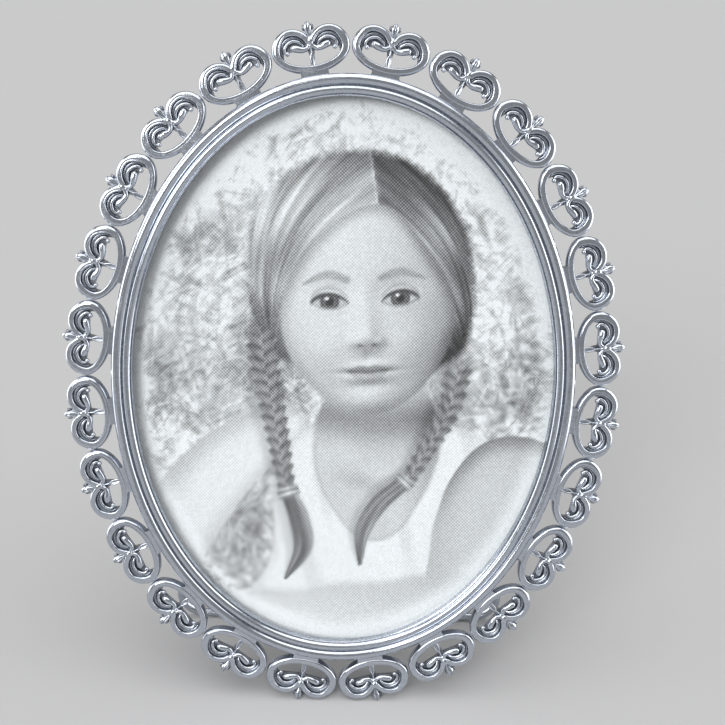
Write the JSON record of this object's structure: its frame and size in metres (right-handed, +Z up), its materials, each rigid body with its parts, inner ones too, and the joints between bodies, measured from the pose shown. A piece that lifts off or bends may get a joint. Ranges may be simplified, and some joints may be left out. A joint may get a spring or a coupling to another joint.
{
  "type": "oval picture frame",
  "caption": "Small oval silver table frame with a reeded rim, a border of openwork scrolls, a glazed print, a back held by turn buttons and a folding wire stand.",
  "frame": {"origin": "under the middle of the part's box, on the surface that it stands on", "axes": "+Z up, -Y towards the viewer, +X to the viewer's right; the frame leans back 13 degrees on its open stand"},
  "size_m": [0.0798, 0.025, 0.0958],
  "materials": {
    "silver": "polished silver with darkened recesses",
    "glass": "clear float glass",
    "print": "halftone print",
    "card": "grey board",
    "plate": "dull plated sheet",
    "hardware": "plated sheet and rivets",
    "wire": "bright drawn wire"
  },
  "bodies": {
    "frame": {"rim": "silver", "scroll_01": "silver", "scroll_02": "silver", "scroll_03": "silver", "scroll_04": "silver", "scroll_05": "silver", "scroll_06": "silver", "scroll_07": "silver", "scroll_08": "silver", "scroll_09": "silver", "scroll_10": "silver", "scroll_11": "silver", "scroll_12": "silver", "scroll_13": "silver", "scroll_14": "silver", "scroll_15": "silver", "scroll_16": "silver", "scroll_17": "silver", "scroll_18": "silver", "scroll_19": "silver", "scroll_20": "silver", "scroll_21": "silver", "scroll_22": "silver", "scroll_23": "silver", "scroll_24": "silver", "glass": "glass", "print": "print", "backing_card": "card", "back_plate": "plate", "hinge_plate": "hardware", "hinge_rivets": "hardware", "button_rivets": "hardware"},
    "stand": {"wire_stand": "wire"},
    "button_1": {"turn_button_1": "hardware"},
    "button_2": {"turn_button_2": "hardware"},
    "button_3": {"turn_button_3": "hardware"},
    "button_4": {"turn_button_4": "hardware"}
  },
  "joints": [
    {"name": "stand_fold", "type": "hinge", "parent": "frame", "child": "stand", "pos_m": [0, 0.00288, 0.04082], "axis": [-1, 0, 0], "range_deg": [0, 20]},
    {"name": "button_1_turn", "type": "hinge", "parent": "frame", "child": "button_1", "pos_m": [0.02624, 0.00835, 0.0703], "axis": [0, 0.9744, -0.225], "range_deg": [0, 90]},
    {"name": "button_2_turn", "type": "hinge", "parent": "frame", "child": "button_2", "pos_m": [-0.02624, 0.00835, 0.0703], "axis": [0, -0.9744, 0.225], "range_deg": [0, 90]},
    {"name": "button_3_turn", "type": "hinge", "parent": "frame", "child": "button_3", "pos_m": [-0.02624, -0.00242, 0.02363], "axis": [0, -0.9744, 0.225], "range_deg": [0, 90]},
    {"name": "button_4_turn", "type": "hinge", "parent": "frame", "child": "button_4", "pos_m": [0.02624, -0.00242, 0.02363], "axis": [0, 0.9744, -0.225], "range_deg": [0, 90]}
  ]
}
